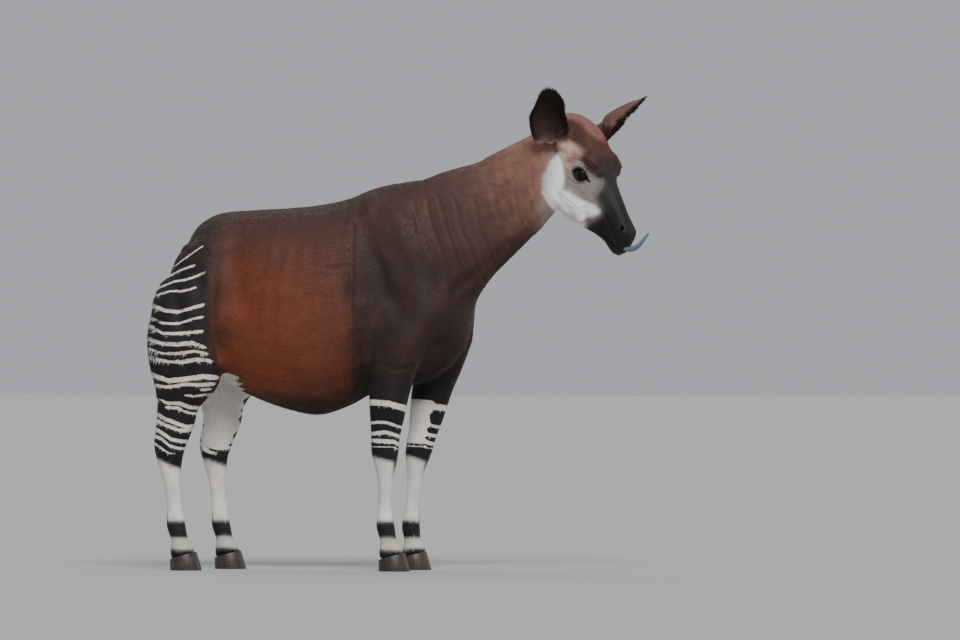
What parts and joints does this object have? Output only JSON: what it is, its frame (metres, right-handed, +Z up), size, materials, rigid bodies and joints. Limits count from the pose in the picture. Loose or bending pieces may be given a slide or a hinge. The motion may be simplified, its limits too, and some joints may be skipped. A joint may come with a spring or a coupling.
{
  "type": "okapi model",
  "caption": "Life-size standing okapi cow with a sloping back, striped rump and legs, lowered head turned to her right, cupped ears and tongue curled up past the lips.",
  "frame": {"origin": "on the floor, under the middle of the bounding box", "axes": "+X towards the way the body faces, +Y towards its left side, +Z up"},
  "size_m": [2.0124, 0.5426, 1.8683],
  "materials": {
    "coat_body": "short dark chestnut coat",
    "coat_neck": "short brown coat, lighter towards the head",
    "coat_head": "short coat, white cheeks, red-brown forehead and black muzzle",
    "coat_legs": "short coat, dark with white stripes and white cannons",
    "coat_tail": "short coat ending in a dark tuft",
    "coat_ears": "thin skin with short hair and a dark rim",
    "horn": "dark dull horn",
    "eye": "wet black-brown",
    "tongue": "moist blue-grey skin"
  },
  "bodies": {
    "root": {"ear_left": "coat_ears", "ear_right": "coat_ears", "eye_left": "eye", "eye_right": "eye", "head": "coat_head", "hoof_front_left_inner": "horn", "hoof_front_left_outer": "horn", "hoof_front_right_inner": "horn", "hoof_front_right_outer": "horn", "hoof_hind_left_inner": "horn", "hoof_hind_left_outer": "horn", "hoof_hind_right_inner": "horn", "hoof_hind_right_outer": "horn", "leg_front_left": "coat_legs", "leg_front_right": "coat_legs", "leg_hind_left": "coat_legs", "leg_hind_right": "coat_legs", "neck": "coat_neck", "tail": "coat_tail", "tongue": "tongue", "torso": "coat_body"}
  },
  "joints": []
}
